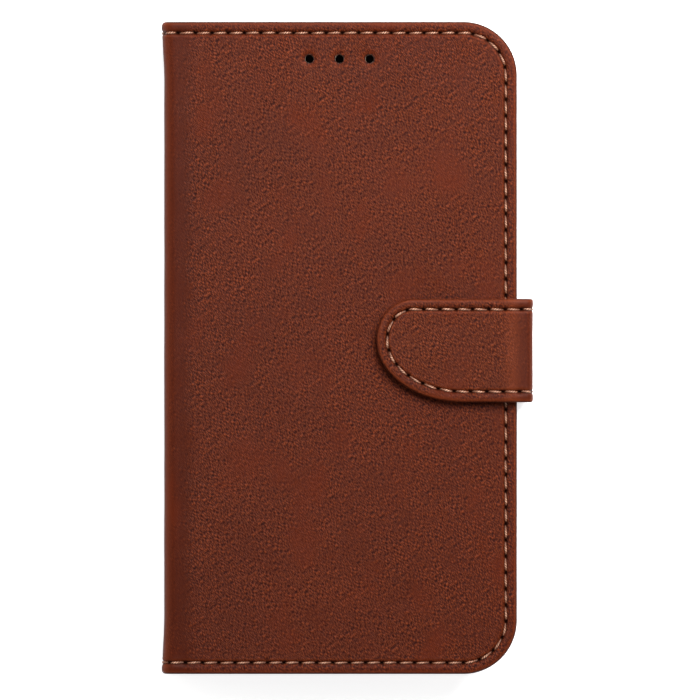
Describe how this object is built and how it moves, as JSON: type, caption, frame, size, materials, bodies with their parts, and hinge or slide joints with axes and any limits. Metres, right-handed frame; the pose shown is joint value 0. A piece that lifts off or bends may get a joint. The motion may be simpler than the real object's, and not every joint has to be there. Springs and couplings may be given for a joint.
{
  "type": "phone wallet case",
  "caption": "Folio phone wallet case in brown leather with stitched covers, a spine, a moulded phone shell, card and cash pockets and a magnetic closing strap.",
  "frame": {"origin": "centre of the bounding box's underside: on the table, halfway between the spine's outer face and the strap's outermost bend, halfway up the covers", "axes": "+X from the spine to the free edge, +Y to the top of the phone, +Z out of the front cover"},
  "size_m": [0.0898, 0.158, 0.0212],
  "materials": {
    "cover_leather": "satin pull-up leather, reddish brown, mottled",
    "strap_leather": "satin pull-up leather, reddish brown",
    "lining_leather": "fine matte lining",
    "pocket_leather": "fine matte pocket leather",
    "thread": "twisted tan thread",
    "cover_board": "grey-brown pressed board",
    "adhesive": "translucent double-sided sheet",
    "shell": "matte black soft plastic",
    "plate_steel": "plain sheet steel",
    "magnet": "nickel-plated magnet"
  },
  "bodies": {
    "back_cover": {"back_cover_skin": "cover_leather", "back_cover_board": "cover_board", "back_lining": "lining_leather", "back_stitching": "thread", "strap_root_tab": "strap_leather", "shell_adhesive_sheet": "adhesive", "phone_shell": "shell"},
    "spine": {"spine_skin": "cover_leather", "spine_board": "cover_board", "spine_lining": "lining_leather"},
    "front_cover": {"front_cover_skin": "cover_leather", "front_cover_board": "cover_board", "closure_plate": "plate_steel", "front_lining": "lining_leather", "cash_pocket_panel": "pocket_leather", "card_pocket_1": "pocket_leather", "card_pocket_2": "pocket_leather", "card_pocket_3": "pocket_leather", "front_stitching": "thread"},
    "strap_side": {"strap_side_skin": "strap_leather", "strap_side_lining": "lining_leather"},
    "strap_tip": {"strap_skin": "strap_leather", "strap_lining": "lining_leather", "strap_stiffener": "cover_board", "strap_magnet_1": "magnet", "strap_magnet_2": "magnet", "strap_stitching": "thread"}
  },
  "joints": [
    {"name": "back_fold", "type": "hinge", "parent": "back_cover", "child": "spine", "pos_m": [-0.0453, 0, -0.0004], "axis": [0, -1, 0], "range_deg": [0, 180]},
    {"name": "front_fold", "type": "hinge", "parent": "spine", "child": "front_cover", "pos_m": [-0.0453, 0, 0.019], "axis": [0, -1, 0], "range_deg": [0, 180]},
    {"name": "strap_root_bend", "type": "hinge", "parent": "back_cover", "child": "strap_side", "pos_m": [0.0453, -0.00065, 0.0009], "axis": [0, 1, 0], "range_deg": [0, 180], "deforming": ["strap_side_skin", "strap_side_lining", "strap_skin", "strap_lining", "strap_stiffener", "strap_magnet_1", "strap_magnet_2", "strap_stitching"]},
    {"name": "strap_tip_bend", "type": "hinge", "parent": "strap_side", "child": "strap_tip", "pos_m": [0.0453, -0.00065, 0.0216], "axis": [0, 1, 0], "range_deg": [0, 90]}
  ]
}
